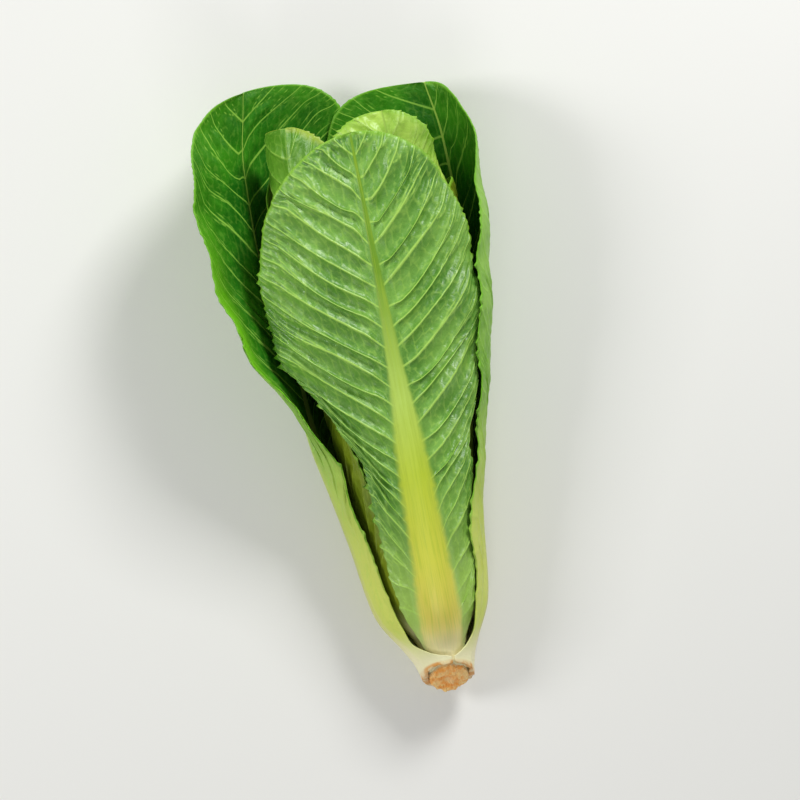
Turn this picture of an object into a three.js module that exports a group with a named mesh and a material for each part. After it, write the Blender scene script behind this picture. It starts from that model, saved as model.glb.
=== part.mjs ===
// Romaine lettuce head lying on its side. Millimetres, +Z up, the cut stem towards -Y, the tips towards +Y.
// Every leaf is a thin closed shell that follows one layer of the head: an oval that grows from the
// stem towards the tips. The leaves stand round the stem in a spiral, and each lies inside the last.
import * as THREE from 'three';

// Driving dimensions
const BLADE = 0.75;               // thickness of a leaf blade
const AXIS_START = 20.2;          // height of the head's axis above the surface at the cut end
const AXIS_RISE = 0.104;          // rise of the axis for each millimetre towards the tips
const STEM_RADIUS = 9.4;
const STEM_TOP = 55;
const STEM_CLEARANCE = 1.25;      // from the stem to the middle of a leaf base
const CUT_HEIGHT = 6;             // middle of the slanting cut
const CUT_SLANT = 6;              // the cut is this much higher on top and lower below
const CUT_LEAF_RISE = 1.6;        // leaf bases end this far above the cut
const SPREAD_LENGTH = 35;         // a leaf reaches its layer this far above its base
const FLAT_SHARE = 0.85;          // depth of the flattened underside as a share of the full oval
const FLAT_FROM = 0.75;           // sine of the angle where the underside starts to flatten
const FLAT_FULL = 0.95;           // sine of the angle where the underside is fully flat
const FLARE_ANGLE = 60;           // angle from the rib, in degrees, at which a flare is stated
const WIDEST_ANGLE = 62;          // inner leaves wrap no further than this each side of their rib
const TUCK = 0.068;               // the second leaf drops this share under the edge of the first
const TUCK_FROM = 271;            // angle, in degrees, where the tuck is deepest
const TUCK_TO = 279;              // and where it ends
const COLLAR_FULL = 12;           // the bases of the two outermost leaves wrap round up to here
const COLLAR_END = 27;            // and no longer from here
const COLLAR_LIFT = 1.2;            // how far their wrapping edges stand off
const BOW_FROM = 2;               // the first leaf bows out sideways from here
const BOW_TO = 165;               // to here
const COVER_STEP = 3;             // the leaf that covers a rib is three places further out
const RIB_SHARE = 0.8;            // share of the room under the covering leaf that a rib may fill
const RIB_ROOM = 1.3;             // blade and air kept above a rib
const RIB_REACH = 0.45;           // an inner rib is no wider than this share of its layer's radius
const RIDGE = 0.42;               // height of the side veins over the blade
const TOOTH = 1.1;                // how far the edge stands out at a vein
const ROUGH_SEED = 20417;

// Smooth curve through hand-set points that never overshoots between them
function curveThrough(points) {
  const last = points.length - 1;
  const slopes = points.slice(1).map((point, k) => (point[1] - points[k][1]) / (point[0] - points[k][0]));
  const tangents = points.map((point, k) => {
    if (k === 0) return slopes[0];
    if (k === last) return slopes[last - 1];
    const before = slopes[k - 1];
    const after = slopes[k];
    return before * after <= 0 ? 0 : (2 * before * after) / (before + after);
  });
  return (at) => {
    const place = Math.min(Math.max(at, points[0][0]), points[last][0]);
    let k = 0;
    while (k < last - 1 && place > points[k + 1][0]) k += 1;
    const span = points[k + 1][0] - points[k][0];
    const t = (place - points[k][0]) / span;
    const rise = points[k + 1][1] - points[k][1];
    const bend = tangents[k] + tangents[k + 1] - 2 * slopes[k];
    const ease = (3 * slopes[k] - 2 * tangents[k] - tangents[k + 1]) * t + bend * t * t;
    return rise === 0 ? points[k][1] : points[k][1] + span * t * (tangents[k] + ease);
  };
}

function smooth(from, to, at) {
  const t = Math.min(Math.max((at - from) / (to - from), 0), 1);
  return t * t * (3 - 2 * t);
}

// Repeatable draw between -1 and 1
function drawFrom(seed) {
  let state = seed;
  return () => {
    state = (state * 1664525 + 1013904223) % 4294967296;
    return (state / 4294967296) * 2 - 1;
  };
}

const radians = (degrees) => (degrees * Math.PI) / 180;

// The head's outer oval, by distance from the cut end
const halfWidth = curveThrough([
  [0, 10.4], [14, 11.2], [22, 14], [42, 22], [75, 27.5], [110, 34.5], [150, 44], [190, 51.5],
  [230, 55.5], [260, 55], [290, 50], [300, 48],
]);
const halfTop = curveThrough([
  [0, 10.4], [14, 11.2], [22, 14], [42, 21.5], [75, 26], [110, 31], [150, 35.5], [190, 38.5],
  [230, 39.5], [270, 37.5], [300, 33],
]);
const undersideShare = curveThrough([
  [0, 0.52], [14, 0.53], [22, 0.63], [42, 0.9], [60, 1], [215, 1], [250, 0.88], [290, 0.7], [300, 0.66],
]);
const axisHeight = (s) => AXIS_START + AXIS_RISE * s;
const halfBottom = (s) => ((axisHeight(s) - BLADE / 2) / FLAT_SHARE) * undersideShare(s);
const stemRadius = curveThrough([
  [0, STEM_RADIUS], [12, STEM_RADIUS], [18, 8.6], [24, 7.2], [32, 5.5], [40, 4.1], [48, 2.7],
  [53.5, 1.3], [STEM_TOP, 0.4],
]);

function flattened(sine) {
  if (sine < FLAT_FROM) return sine;
  if (sine > FLAT_FULL) return FLAT_SHARE;
  return sine - (sine - FLAT_FROM) ** 2 / (2 * (FLAT_FULL - FLAT_FROM));
}

// Point of the cross-section at a distance along the head, an angle and a share of the outer oval
function sectionPoint(s, angle, share) {
  const sine = Math.sin(angle);
  const rise = sine >= 0 ? halfTop(s) * sine : -halfBottom(s) * flattened(-sine);
  return [share * halfWidth(s) * Math.cos(angle), share * rise];
}

// Rib height and half width by share of the leaf's length, on the outermost leaves
const ribHeight = curveThrough([
  [0, 1.6], [0.06, 4.2], [0.14, 5], [0.25, 4.4], [0.45, 3], [0.7, 1.6], [0.9, 0.8], [1, 0],
]);
const ribHalfWidth = curveThrough([
  [0, 8.5], [0.06, 11.5], [0.14, 13], [0.28, 11.5], [0.45, 8.5], [0.65, 5.5], [0.85, 3.2], [1, 2],
]);
// Half width of a blade as a share of its widest, below its rounded top. The hip is the narrow part
// beside the thick rib, and the waist makes it reach further up.
const outerOutline = (hip, waist) => curveThrough([
  [0, 0.19], [0.05, 0.75 * hip], [0.12, 0.92 * hip], [0.21, hip], [0.3, hip + 0.03 - 0.2 * waist],
  [0.39, 0.6 * hip + 0.29 - waist], [0.49, 0.35 * hip + 0.58 - 1.2 * waist], [0.62, 0.955], [0.7, 1],
  [1, 1],
]);
const innerOutline = curveThrough([
  [0, 0.1], [0.05, 0.2], [0.14, 0.36], [0.25, 0.46], [0.39, 0.66], [0.53, 0.86], [0.7, 1], [1, 1],
]);
// How far ahead of the rib a side vein meets the edge, as a share of the length left to the tip
const veinLead = curveThrough([[0, 0], [0.1, 0.1], [0.2, 0.19], [0.5, 0.38], [0.8, 0.68], [1, 1]]);

// The leaves, outermost first. width and flare give the side of falling angle, then of rising angle.
const visibleLeaves = [
  { angle: [188, 194], tip: 296, layer: 1, width: [49, 71], hip: [0.34, 0.585], grip: [44, 84],
    collar: [50, 0], bow: 0.13, flare: [1.28, 0], flareFrom: 108, topShape: [3.2, 3.2],
    roundFrom: 0.72, lean: 0.11, wave: 1.5, base: 5, rows: 26, columns: 7 },
  { angle: [334, 319], tip: 287, layer: 1, width: [65, 54], hip: [0.44, 0.44], grip: [66, 42],
    collar: [0, 50], flare: [0, 0.03], flareFrom: 60, topShape: [3.4, 2], roundFrom: 0.7,
    lean: -0.08, wave: 1.1, tuck: TUCK, base: 5, rows: 26, columns: 5 },
  { angle: [86, 91], tip: 267, layer: 0.87, width: [49, 59], hip: [0.6, 0.4], waist: [0, 0.1],
    grip: [70, 60], clearance: 0.7, ribFrom: 30, flare: [0, 0.25], flareFrom: 102, topShape: [2, 2],
    lean: -0.05, wave: 1, base: 12.5, rows: 26, columns: 5 },
  { angle: [186, 238], tip: 262, layer: 0.82, width: [44, 44], base: 20, rows: 22, columns: 4 },
  { angle: [352, 350], tip: 240, layer: 0.785, width: [42, 42], base: 21.8, rows: 22, columns: 4 },
  { angle: [142, 140], tip: 275, layer: 0.74, width: [42, 42], base: 23.6, cover: 3, flare: [0, 0.02],
    wave: 0.6, rows: 24, columns: 4 },
  { angle: [280, 280], tip: 258, layer: 0.7, width: [40, 40], base: 25.4, rows: 20, columns: 4 },
  { angle: [57, 72], tip: 275, layer: 0.66, width: [40, 40], base: 27.2, flare: [0.06, 0], wave: 0.8,
    rows: 24, columns: 4 },
];
const HEART = { angle: 195, turn: 137.5, layer: 0.62, layerStep: 0.04, base: 29, baseStep: 1.8 };
const heartTips = [250, 250, 246, 240, 236, 230, 222, 212, 200, 186, 168, 148];

const leaves = visibleLeaves.concat(heartTips.map((tip, k) => {
  const angle = HEART.angle + HEART.turn * k;
  const layer = HEART.layer - HEART.layerStep * k;
  const width = 52 * layer + 2;
  return {
    angle: [angle, angle], tip, layer, width: [width, width], base: HEART.base + HEART.baseStep * k,
    hood: 0.2, rows: 12, columns: 3,
  };
}));
const leafDefaults = {
  flare: [0, 0], flareFrom: 100, topShape: [2.2, 2.2], roundFrom: 0.7, lean: 0, wave: 0.5, hood: 0,
  tuck: 0, bow: 0, collar: [0, 0], waist: [0, 0], clearance: STEM_CLEARANCE, ribFrom: 0,
};
leaves.forEach((leaf, k) => {
  const whole = { ...leafDefaults, ...leaf, place: k, length: leaf.tip - leaf.base };
  const outer = () => whole.hip.map((hip, side) => outerOutline(hip, whole.waist[side]));
  leaves[k] = { ...whole, outline: leaf.hip ? outer() : [innerOutline, innerOutline] };
});

// Share of the outer oval that a leaf's layer has at a distance along the head
function layerShare(leaf, s) {
  const smallest = Math.min(halfWidth(s), halfTop(s), FLAT_SHARE * halfBottom(s));
  const start = (stemRadius(s) + leaf.clearance) / smallest;
  const t = Math.min(Math.max((s - leaf.base) / SPREAD_LENGTH, 0), 1);
  const spread = 1 - (1 - t) ** 2.5;
  const hooded = 1 - leaf.hood * smooth(leaf.tip - 55, leaf.tip, s);
  return (start + (leaf.layer - start) * spread) * hooded;
}

function layerRadius(leaf, s) {
  return (layerShare(leaf, s) * (halfWidth(s) + halfTop(s))) / 2;
}

function ribReach(leaf, s) {
  const wanted = ribHalfWidth((s - leaf.base) / leaf.length);
  return leaf.place < COVER_STEP ? wanted : Math.min(wanted, RIB_REACH * layerRadius(leaf, s));
}

function ribAngle(leaf, s) {
  const share = Math.min(Math.max(s / leaf.tip, 0), 1);
  return radians(leaf.angle[0] + (leaf.angle[1] - leaf.angle[0]) * share);
}

function leafPoint(leaf, s, angle) {
  const turned = angle - ribAngle(leaf, s);
  const flare = leaf.flare[turned > 0 ? 1 : 0] * smooth(leaf.flareFrom, leaf.flareFrom + 70, s);
  const share = layerShare(leaf, s) * (1 + flare * (turned / radians(FLARE_ANGLE)) ** 2);
  const tuck = leaf.tuck * (1 - smooth(radians(TUCK_FROM), radians(TUCK_TO), angle));
  const [x, z] = sectionPoint(s, angle, share * (1 - tuck));
  const bow = leaf.bow * smooth(BOW_FROM, 32, s) * (1 - smooth(115, BOW_TO, s));
  return [x * (1 + bow * smooth(0.2, 0.9, -Math.cos(angle))), z];
}

// How much of its collar a leaf has: the part of its base that wraps over the leaves inside it
const collarShare = (s) => 1 - smooth(COLLAR_FULL, COLLAR_END, s);

// Direction along the cross-section at an angle, with its length for each radian
function sectionDirection(leaf, s, angle) {
  const step = 0.001;
  const before = leafPoint(leaf, s, angle - step);
  const after = leafPoint(leaf, s, angle + step);
  return [(after[0] - before[0]) / (2 * step), (after[1] - before[1]) / (2 * step)];
}

// Angle reached by going across the leaf from its rib
function angleAcross(leaf, s, across) {
  const steps = 14;
  const stride = across / steps;
  let angle = ribAngle(leaf, s);
  for (let k = 0; k < steps; k += 1) {
    const half = angle + stride / 2 / Math.hypot(...sectionDirection(leaf, s, angle));
    angle += stride / Math.hypot(...sectionDirection(leaf, s, half));
  }
  return angle;
}

function bladeHalfWidth(leaf, side, s) {
  const v = Math.min(Math.max((s - leaf.base) / leaf.length, 0), 1);
  const past = Math.max((v - leaf.roundFrom) / (1 - leaf.roundFrom), 0);
  const shape = leaf.topShape[side];
  const rounded = (1 - past ** shape) ** (1 / shape);
  const collar = radians(leaf.collar[side]) * collarShare(s) * layerRadius(leaf, s);
  const wanted = leaf.width[side] * leaf.outline[side](v) * rounded + collar;
  const widest = leaf.grip ? leaf.grip[side] + 90 * smooth(50, 130, s) : WIDEST_ANGLE;
  return Math.min(wanted, radians(widest) * layerRadius(leaf, s) + collar);
}

function ribHeightAt(leaf, s) {
  const grown = leaf.ribFrom ? smooth(leaf.base, leaf.ribFrom, s) : 1;
  const wanted = ribHeight((s - leaf.base) / leaf.length) * grown;
  if (leaf.place < COVER_STEP) return wanted;
  const cover = leaves[leaf.cover ?? leaf.place - COVER_STEP];
  const smallest = Math.min(halfWidth(s), halfTop(s));
  const room = (layerShare(cover, s) - layerShare(leaf, s)) * smallest;
  return Math.max(Math.min(wanted, RIB_SHARE * room - RIB_ROOM), 0);
}

const cutHeight = (angle) => CUT_HEIGHT + CUT_SLANT * Math.sin(angle);

// Both faces of a leaf at a point of its flat outline: across from the rib, and along the head
function leafFaces(leaf, across, along, edgeShare, ridge) {
  const angle = angleAcross(leaf, along, across);
  let s = along;
  if (leaf.place < COVER_STEP) {
    const rise = cutHeight(angle) + CUT_LEAF_RISE - leaf.base;
    s += rise * (1 - smooth(leaf.base, leaf.base + 16, along));
  }
  const [x, z] = leafPoint(leaf, s, angle);
  const [dx, dz] = sectionDirection(leaf, s, angle);
  const length = Math.hypot(dx, dz);
  const normal = [dz / length, -dx / length];
  const share = (along - leaf.base) / leaf.length;
  const reach = Math.min(Math.abs(across) / ribReach(leaf, along), 1);
  const rib = ribHeightAt(leaf, along) * (1 - reach ** 2) ** 1.4;
  const underside = smooth(0.6, 0.92, -Math.sin(angle));
  const waving = leaf.wave * edgeShare ** 2 * smooth(0.15, 0.45, share);
  const wave = waving * Math.sin(s / 6 + leaf.place * 2.1 + Math.sign(across));
  const wrapped = (angle - ribAngle(leaf, s)) * (leaf.collar[0] > 0 ? -1 : 1);
  const lifted = leaf.collar[0] + leaf.collar[1] > 0 ? smooth(0.45, 0.85, wrapped) : 0;
  const lift = COLLAR_LIFT * lifted * (1 - smooth(COLLAR_END, COLLAR_END + 12, s));
  const relief = (ridge + wave) * (1 - underside) + lift;
  const place = (offset) => {
    const height = axisHeight(s) + z + normal[1] * offset;
    return new THREE.Vector3(x + normal[0] * offset, s, height);
  };
  return { outer: place(relief + rib + BLADE / 2), inner: place(relief - BLADE / 2) };
}

// Grid lines follow the side veins, so that each vein is a ridge that ends in a tooth of the edge
function leafShell(leaf) {
  const draw = drawFrom(ROUGH_SEED + leaf.place);
  const ridge = leaf.place < 8 ? RIDGE : 0.6 * RIDGE;
  const outer = [];
  const inner = [];
  for (let row = 0; row <= leaf.rows; row += 1) {
    const t = row / leaf.rows;
    const ribAt = leaf.base + leaf.length * t;
    const edgeAt = ribAt + leaf.length * (1 - t) * veinLead(t);
    const onVein = row % 2 === 1;
    const outerRow = [];
    const innerRow = [];
    const across = row === leaf.rows ? [0] : [];
    for (let column = -leaf.columns; column <= leaf.columns && row < leaf.rows; column += 1) {
      across.push(column);
    }
    const tooth = across.map(() => draw());
    across.forEach((column, k) => {
      const side = column > 0 ? 1 : 0;
      const reach = Math.abs(column);
      const rim = reach === leaf.columns;
      const widest = bladeHalfWidth(leaf, side, edgeAt);
      const rib = Math.min(ribReach(leaf, ribAt), 0.6 * widest);
      const ribColumns = leaf.columns > 3 ? 2 : 1;
      const bladeShare = (reach - ribColumns) / (leaf.columns - ribColumns);
      let out = reach <= ribColumns ? (rib * reach) / ribColumns : rib + (widest - rib) * bladeShare;
      const share = widest > 0 ? out / widest : 0;
      if (rim && row > 2) out += (onVein ? TOOTH : -0.5 * TOOTH) * (0.75 + 0.5 * tooth[k]) * (1 - t ** 6);
      const lean = leaf.lean * Math.sign(column) * out * smooth(0.45, 0.95, t);
      const along = ribAt + (edgeAt - ribAt) * (0.7 * share + 0.3 * share ** 2) + lean;
      const fade = smooth(0, 0.25, share) * (1 - 0.5 * smooth(0.8, 1, share)) * smooth(0, 0.12, t);
      const faces = leafFaces(leaf, Math.sign(column) * out, along, share, (onVein ? ridge : -ridge) * fade);
      outerRow.push(faces.outer);
      innerRow.push(faces.inner);
    });
    outer.push(outerRow);
    inner.push(innerRow);
  }
  return shellGeometry(outer, inner);
}

// Closed shell between two grids whose last row is a single point
function shellGeometry(outer, inner) {
  const positions = [];
  const triangle = (a, b, c) => [a, c, b].forEach((point) => positions.push(point.x, point.y, point.z));
  const quad = (a, b, c, d) => {
    triangle(a, b, c);
    triangle(a, c, d);
  };
  const rows = outer.length - 1;
  const columns = outer[0].length - 1;
  for (let row = 0; row < rows - 1; row += 1) {
    for (let k = 0; k < columns; k += 1) {
      quad(outer[row][k], outer[row][k + 1], outer[row + 1][k + 1], outer[row + 1][k]);
      quad(inner[row][k], inner[row + 1][k], inner[row + 1][k + 1], inner[row][k + 1]);
    }
    quad(outer[row][0], outer[row + 1][0], inner[row + 1][0], inner[row][0]);
    quad(outer[row][columns], inner[row][columns], inner[row + 1][columns], outer[row + 1][columns]);
  }
  const top = rows - 1;
  for (let k = 0; k < columns; k += 1) {
    triangle(outer[top][k], outer[top][k + 1], outer[rows][0]);
    triangle(inner[top][k], inner[rows][0], inner[top][k + 1]);
    quad(outer[0][k], inner[0][k], inner[0][k + 1], outer[0][k + 1]);
  }
  quad(outer[top][0], outer[rows][0], inner[rows][0], inner[top][0]);
  quad(outer[top][columns], inner[top][columns], inner[rows][0], outer[rows][0]);
  const geometry = new THREE.BufferGeometry();
  geometry.setAttribute('position', new THREE.Float32BufferAttribute(positions, 3));
  geometry.computeVertexNormals();
  return geometry;
}

// The stem: a blunt cone inside the leaf bases, cut off on a slant and left rough
function stemGeometry() {
  const draw = drawFrom(ROUGH_SEED + 100);
  const sides = 24;
  const rings = 9;
  const grid = [];
  for (let ring = 0; ring <= rings; ring += 1) {
    const points = [];
    for (let side = 0; side < sides; side += 1) {
      const angle = (side / sides) * 2 * Math.PI;
      const jag = ring === 0 ? 0.5 * draw() : 0;
      const start = cutHeight(angle) + jag;
      const s = start + (STEM_TOP - start) * (ring / rings) ** 1.3;
      const radius = stemRadius(s) + 0.15 * draw();
      points.push(new THREE.Vector3(radius * Math.cos(angle), s, axisHeight(s) + radius * Math.sin(angle)));
    }
    grid.push(points);
  }
  const positions = [];
  const triangle = (a, b, c) => [a, b, c].forEach((point) => positions.push(point.x, point.y, point.z));
  const cutMiddle = new THREE.Vector3(0, CUT_HEIGHT + 0.6, axisHeight(CUT_HEIGHT));
  const topMiddle = new THREE.Vector3(0, STEM_TOP + 0.4, axisHeight(STEM_TOP));
  for (let side = 0; side < sides; side += 1) {
    const next = (side + 1) % sides;
    triangle(cutMiddle, grid[0][side], grid[0][next]);
    triangle(topMiddle, grid[rings][next], grid[rings][side]);
    for (let ring = 0; ring < rings; ring += 1) {
      triangle(grid[ring][side], grid[ring + 1][side], grid[ring + 1][next]);
      triangle(grid[ring][side], grid[ring + 1][next], grid[ring][next]);
    }
  }
  const geometry = new THREE.BufferGeometry();
  geometry.setAttribute('position', new THREE.Float32BufferAttribute(positions, 3));
  geometry.computeVertexNormals();
  return geometry;
}

const DARK_LEAF = new THREE.Color(0x3f8a24);
const FRONT_LEAF = new THREE.Color(0x7cab4f);
const HEART_LEAF = new THREE.Color(0xd6dc7c);

function leafMaterial(place) {
  const green = place < 2 ? DARK_LEAF : FRONT_LEAF;
  const color = green.clone().lerp(HEART_LEAF, Math.max(place - 2, 0) / 17);
  return new THREE.MeshStandardMaterial({ color, roughness: 0.45, metalness: 0 });
}

const head = new THREE.Group();
const cutStem = new THREE.Mesh(
  stemGeometry(),
  new THREE.MeshStandardMaterial({ color: 0xdb9b4c, roughness: 0.6, metalness: 0 }),
);
cutStem.name = 'cut_stem';
head.add(cutStem);
leaves.forEach((leaf, place) => {
  const mesh = new THREE.Mesh(leafShell(leaf), leafMaterial(place));
  mesh.name = `leaf_${String(place + 1).padStart(2, '0')}`;
  head.add(mesh);
});

// The origin is on the surface, below the middle of the head
const box = new THREE.Box3().setFromObject(head, true);
const middle = box.getCenter(new THREE.Vector3());
head.position.set(-middle.x, -middle.y, -box.min.z);

export default head;
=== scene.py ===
import math
import bpy
import numpy as np
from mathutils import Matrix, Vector


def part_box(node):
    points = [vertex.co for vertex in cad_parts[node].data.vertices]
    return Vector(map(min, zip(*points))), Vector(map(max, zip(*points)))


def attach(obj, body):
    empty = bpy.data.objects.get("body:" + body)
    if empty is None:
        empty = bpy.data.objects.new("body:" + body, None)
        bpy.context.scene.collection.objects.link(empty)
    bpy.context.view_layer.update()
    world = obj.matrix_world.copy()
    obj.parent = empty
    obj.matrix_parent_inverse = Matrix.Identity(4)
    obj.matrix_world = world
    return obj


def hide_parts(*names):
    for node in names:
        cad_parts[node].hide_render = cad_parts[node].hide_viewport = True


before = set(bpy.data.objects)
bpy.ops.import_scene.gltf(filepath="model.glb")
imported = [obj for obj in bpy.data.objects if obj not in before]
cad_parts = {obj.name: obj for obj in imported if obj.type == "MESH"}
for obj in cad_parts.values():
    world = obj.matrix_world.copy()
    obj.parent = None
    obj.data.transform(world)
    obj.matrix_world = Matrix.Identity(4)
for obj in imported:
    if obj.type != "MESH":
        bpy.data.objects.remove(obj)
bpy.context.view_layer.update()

# Cut stem
# The short stem that all the leaves grow from, a blunt cone hidden inside their bases. It is crisp
# white flesh, sliced off on a slant and torn a little, and the wound has dried to orange brown.
MILLIMETRE = 0.001
AXIS_START = 20.2
AXIS_RISE = 0.104
STEM_RADIUS = 9.4
STEM_TOP = 55.4
CUT_HEIGHT = 6.0
CUT_SLANT = 6.0
CUT_DOME, CUT_EDGE_DROP = 0.6, 0.5
CUT_TEAR, CUT_GRAIN, CUT_EDGE_WEAR = 0.9, 0.55, 0.35
WOUND_DEPTH = 2.2
CUT_RINGS = 26
STEM_RINGS = 60
STEM_SIDES = 180
STEM_UNEVEN = 0.12
WEAR_SEED, TEAR_SEED, GRAIN_SEED, UNEVEN_SEED = 5, 11, 12, 14
SWELLS = 97

stem_low, stem_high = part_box("cut_stem")
head_x = (stem_low[0] + stem_high[0]) / 2 / MILLIMETRE
head_y = stem_high[1] / MILLIMETRE - STEM_TOP


def curve_through(points):
    """Smooth curve through given points that never overshoots between them."""
    at, height = np.array(points, float).T
    slopes = np.diff(height) / np.diff(at)
    tangents = np.empty_like(height)
    tangents[0], tangents[-1] = slopes[0], slopes[-1]
    before, after = slopes[:-1], slopes[1:]
    both = np.where(before * after > 0, before + after, 1)
    tangents[1:-1] = np.where(before * after > 0, 2 * before * after / both, 0)

    def evaluate(place):
        place = np.clip(place, at[0], at[-1])
        k = np.clip(np.searchsorted(at, place, side="left") - 1, 0, len(slopes) - 1)
        span = at[k + 1] - at[k]
        t = (place - at[k]) / span
        bend = tangents[k] + tangents[k + 1] - 2 * slopes[k]
        ease = (3 * slopes[k] - 2 * tangents[k] - tangents[k + 1]) * t + bend * t * t
        return height[k] + span * t * (tangents[k] + ease)

    return evaluate


def smooth(low, high, at):
    """Eased step from 0 at the first place to 1 at the second."""
    t = np.clip((at - low) / (high - low), 0, 1)
    return t * t * (3 - 2 * t)


def billow(x, y, size, seed):
    """Smooth uneven height between -1 and 1 with swells of the given size."""
    lattice = np.random.default_rng(seed).uniform(-1, 1, (SWELLS, SWELLS))
    u, v = x / size + 31.7, y / size + 17.3
    i, j = np.floor(u).astype(int), np.floor(v).astype(int)
    fu, fv = smooth(0, 1, u - i), smooth(0, 1, v - j)

    def knot(di, dj):
        return lattice[(i + di) % SWELLS, (j + dj) % SWELLS]

    near = knot(0, 0) * (1 - fu) + knot(1, 0) * fu
    far = knot(0, 1) * (1 - fu) + knot(1, 1) * fu
    return near * (1 - fv) + far * fv


def axis_height(s):
    """Height of the head's axis above the floor, at a distance from the cut end."""
    return AXIS_START + AXIS_RISE * s


def cut_height(angle):
    """Distance along the head of the slanted cut, at an angle round the axis."""
    return CUT_HEIGHT + CUT_SLANT * np.sin(angle)


def make_piece(name, points, faces, attributes, material, slot, node):
    """Mesh object from head coordinates in millimetres, standing for one node of the frame."""
    places = (np.asarray(points) + (head_x, head_y, 0)) * MILLIMETRE
    mesh = bpy.data.meshes.new(name)
    mesh.from_pydata(places.tolist(), [], faces)
    mesh.polygons.foreach_set("use_smooth", np.ones(len(mesh.polygons), bool))
    for key, values in attributes.items():
        values = np.asarray(values, np.float32)
        kind = "FLOAT_VECTOR" if values.ndim == 2 else "FLOAT"
        field = "vector" if values.ndim == 2 else "value"
        mesh.attributes.new(key, kind, "POINT").data.foreach_set(field, values.ravel())
    mesh.materials.append(material)
    piece = bpy.data.objects.new(name, mesh)
    bpy.context.collection.objects.link(piece)
    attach(piece, "root")
    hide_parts(node)


class Wire:
    """An output socket of a material. Arithmetic on wires adds their Math nodes."""

    def __init__(self, tree, socket=None):
        self.tree = tree
        self.socket = socket

    def add(self, kind, settings, sockets, out=0):
        """New node with its settings and with values or wires in its sockets."""
        node = self.tree.nodes.new(kind)
        for key, value in settings.items():
            if key == "stops":
                ramp = node.color_ramp.elements
                while len(ramp) < len(value):
                    ramp.new(0.5)
                for element, (place, colour) in zip(ramp, value):
                    element.position = place
                    element.color = colour
            else:
                setattr(node, key, value)
        for key, value in sockets.items():
            if isinstance(value, Wire):
                self.tree.links.new(value.socket, node.inputs[key])
            else:
                node.inputs[key].default_value = value
        return Wire(self.tree, node.outputs[out] if node.outputs else None)

    def maths(self, operation, *values):
        return self.add("ShaderNodeMath", {"operation": operation}, dict(enumerate(values)))

    def __add__(self, other):
        return self.maths("ADD", self, other)

    def __sub__(self, other):
        return self.maths("SUBTRACT", self, other)

    def __rsub__(self, other):
        return self.maths("SUBTRACT", other, self)

    def __mul__(self, other):
        return self.maths("MULTIPLY", self, other)

    __radd__ = __add__
    __rmul__ = __mul__

    def measured(self, name, out=2):
        return self.add("ShaderNodeAttribute", {"attribute_name": name}, {}, out)

    def ranged(self, low, high, start=0.0, end=1.0):
        settings = {"interpolation_type": "SMOOTHSTEP"}
        return self.add("ShaderNodeMapRange", settings, {0: self, 1: low, 2: high, 3: start, 4: end})

    def mixed(self, first, second):
        settings = {"data_type": "RGBA", "clamp_factor": True}
        return self.add("ShaderNodeMix", settings, {0: self, 6: first, 7: second}, 2)

    def noise(self, place, scale, detail=3.0, rough=0.55):
        sockets = {"Vector": place, "Scale": scale, "Detail": detail, "Roughness": rough}
        return self.add("ShaderNodeTexNoise", {}, sockets)


def paint(red, green, blue):
    """Colour from its 0 to 255 display values, as a linear shader colour."""
    shares = [value / 255 for value in (red, green, blue)]
    linear = [s / 12.92 if s <= 0.04045 else ((s + 0.055) / 1.055) ** 2.4 for s in shares]
    return (*linear, 1.0)


def finished(name, build):
    """Material whose shader is built by a function that takes an empty wire."""
    material = bpy.data.materials.new(name)
    material.use_nodes = True
    material.node_tree.nodes.clear()
    start = Wire(material.node_tree)
    start.add("ShaderNodeOutputMaterial", {}, {"Surface": build(start)})
    return material


def stem_surface(start):
    place = start.measured("sheet", 1)
    wound = start.measured("wound")
    core = start.measured("core")
    blotch = start.noise(place, 0.22, 4.0, 0.6)
    fibre = start.noise(place, 1.3, 4.0, 0.7)
    dried = blotch.ranged(0.38, 0.62).mixed(paint(255, 212, 136), paint(250, 168, 70))
    dried = fibre.ranged(0.55, 0.75).mixed(dried, paint(208, 112, 34))
    dried = core.ranged(0.4, 0.1, 0.0, 0.5).mixed(dried, paint(246, 220, 164))
    flesh = fibre.ranged(0.4, 0.8).mixed(paint(230, 226, 188), paint(208, 210, 156))
    colour = wound.mixed(flesh, dried)
    relief = start.add("ShaderNodeBump", {}, {"Strength": 0.7, "Distance": 0.0004, "Height": fibre})
    sockets = {
        "Base Color": colour, "Roughness": blotch.ranged(0.3, 0.7, 0.5, 0.72), "Normal": relief,
        "Subsurface Weight": 0.05, "Subsurface Radius": (0.003, 0.002, 0.001),
    }
    return start.add("ShaderNodeBsdfPrincipled", {}, sockets)


# Distance along the head and radius there.
stem_radius = curve_through([
    (0, STEM_RADIUS), (12, STEM_RADIUS), (18, 8.6), (24, 7.2), (32, 5.5), (40, 4.1), (48, 2.7),
    (53.5, 1.3), (55, 0.4),
])


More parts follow.
